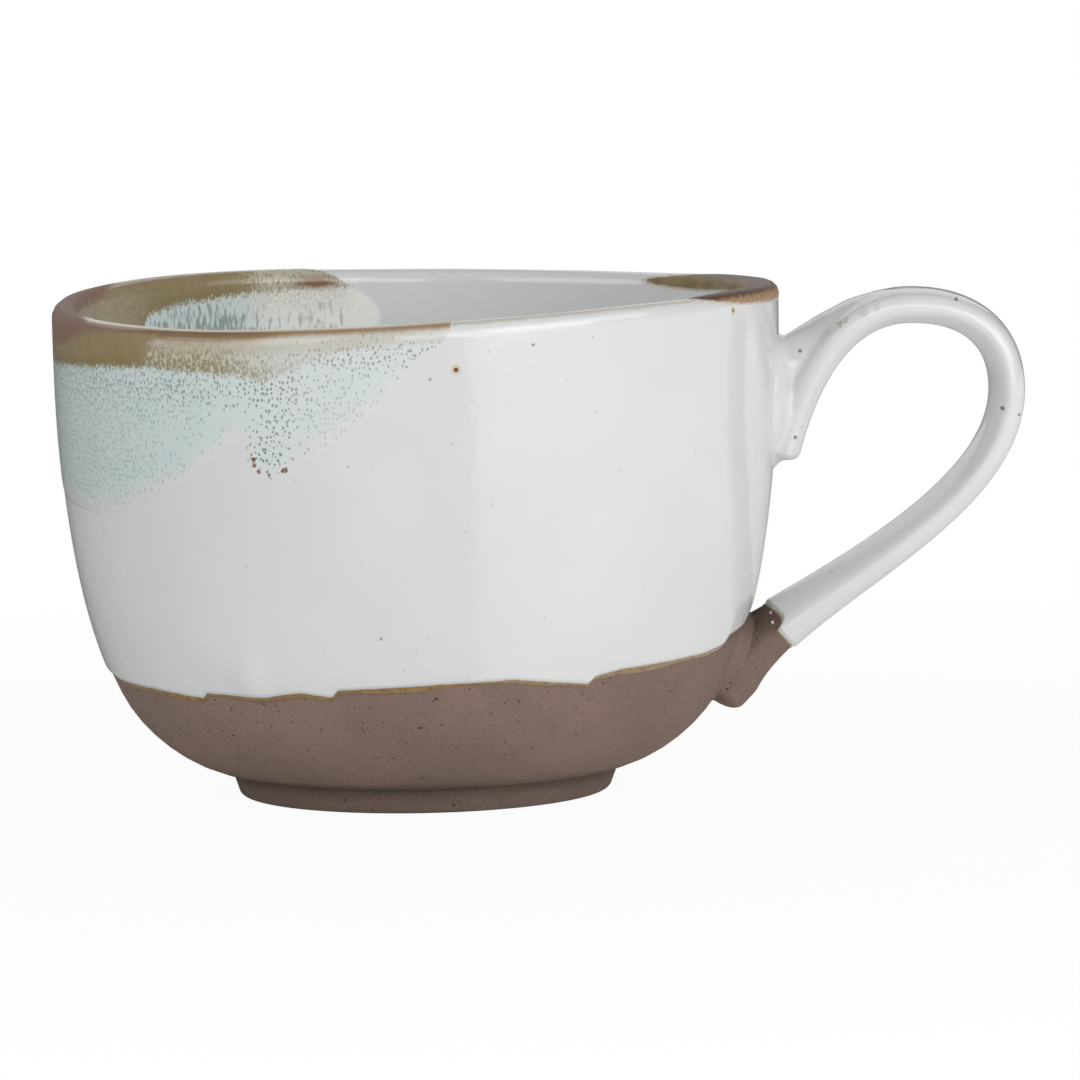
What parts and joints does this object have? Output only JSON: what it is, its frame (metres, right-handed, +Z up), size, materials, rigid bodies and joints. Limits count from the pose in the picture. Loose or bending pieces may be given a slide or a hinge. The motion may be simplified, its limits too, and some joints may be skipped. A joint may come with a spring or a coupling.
{
  "type": "stoneware cup",
  "caption": "Wide handmade stoneware cup with a bare clay base on a foot ring, white glaze, second glaze dips over the rim and a looped strap handle, for hot drinks.",
  "frame": {"origin": "on the table under the middle of the cup's overall box, handle included", "axes": "+Z up out of the mouth, +X towards the handle, Y across the handle's strap; the bowl's axis stands at x = -17.5 mm"},
  "size_m": [0.141, 0.1055, 0.0739],
  "materials": {
    "clay": "bare fired stoneware, matte, speckled",
    "slip": "bare fired slip, matte",
    "white_glaze": "glossy white with fine brown specks",
    "mint_glaze": "glossy pale green breaking to khaki at the rim",
    "rust_glaze": "glossy olive brown breaking to rust at the rim"
  },
  "bodies": {
    "root": {"bowl": "clay", "foot_ring": "clay", "handle": "clay", "upper_lute": "slip", "lower_lute": "slip", "body_glaze": "white_glaze", "handle_glaze": "white_glaze", "left_dip_glaze": "mint_glaze", "right_dip_glaze": "rust_glaze"}
  },
  "joints": []
}
